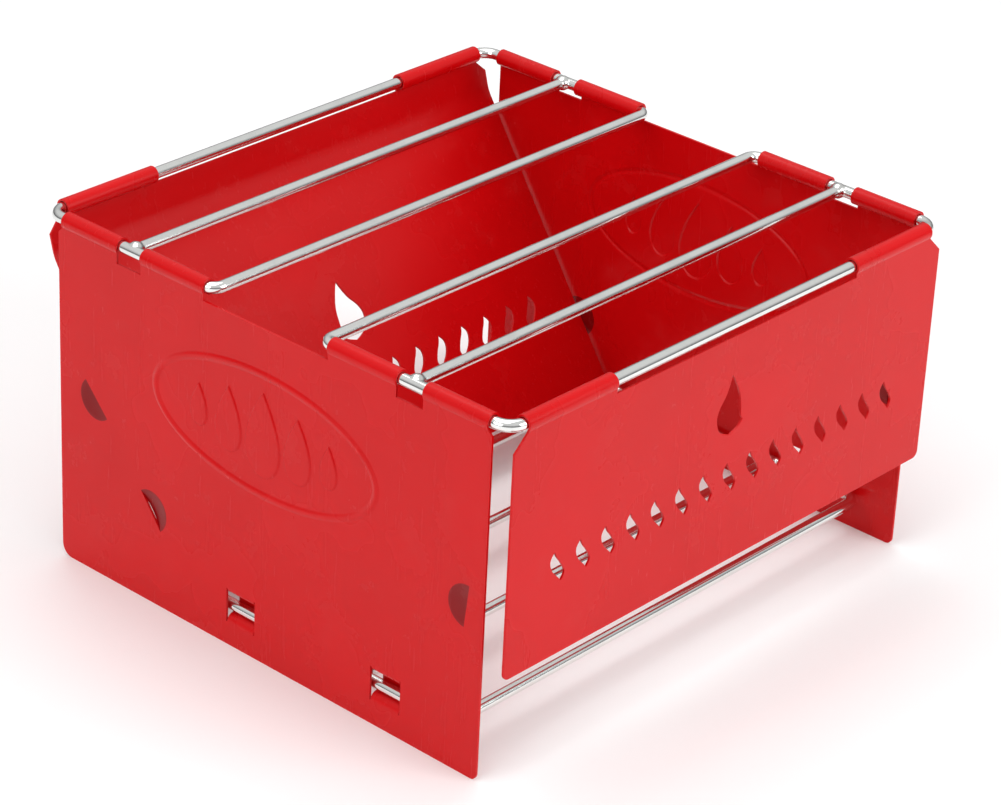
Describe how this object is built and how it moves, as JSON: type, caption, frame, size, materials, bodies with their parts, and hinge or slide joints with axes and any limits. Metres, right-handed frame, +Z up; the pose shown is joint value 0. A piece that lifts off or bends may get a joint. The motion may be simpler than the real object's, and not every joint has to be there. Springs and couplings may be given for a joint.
{
  "type": "camp stove",
  "caption": "Folding box stove of red sheet-steel panels hung on a chrome wire grill, with a low wire rack for a can of gel fuel.",
  "frame": {"origin": "on the floor below the middle of the grill, at the bottom centre of the whole stove", "axes": "+X to the right along the front wire, +Y from the front panel to the back panel, +Z up"},
  "size_m": [0.2134, 0.2082, 0.1269],
  "materials": {
    "red_powder_coat": "gloss powder coat",
    "chrome_wire": "bright nickel-chrome plate"
  },
  "bodies": {
    "frame": {"left_side_panel": "red_powder_coat", "right_side_panel": "red_powder_coat", "front_grill_loop": "chrome_wire", "front_grill_bar": "chrome_wire", "front_weld_left": "chrome_wire", "front_weld_right": "chrome_wire", "rear_grill_loop": "chrome_wire", "rear_grill_bar": "chrome_wire", "rear_weld_left": "chrome_wire", "rear_weld_right": "chrome_wire"},
    "front_panel": {"front_panel": "red_powder_coat"},
    "back_panel": {"back_panel": "red_powder_coat"},
    "rack": {"rack_loop": "chrome_wire", "rack_cross_bar_1": "chrome_wire", "rack_cross_bar_2": "chrome_wire", "rack_weld_1_left": "chrome_wire", "rack_weld_1_right": "chrome_wire", "rack_weld_2_left": "chrome_wire", "rack_weld_2_right": "chrome_wire"}
  },
  "joints": [
    {"name": "front_panel_hinge", "type": "hinge", "parent": "frame", "child": "front_panel", "pos_m": [0, -0.1012, 0.124], "axis": [1, 0, 0], "range_deg": [-225, 75]},
    {"name": "back_panel_hinge", "type": "hinge", "parent": "frame", "child": "back_panel", "pos_m": [0, 0.1012, 0.124], "axis": [-1, 0, 0], "range_deg": [0, 54]},
    {"name": "rack_hinge", "type": "hinge", "parent": "frame", "child": "rack", "pos_m": [-0.10285, 0, 0.0133], "axis": [0, -1, 0], "range_deg": [0, 20]}
  ]
}
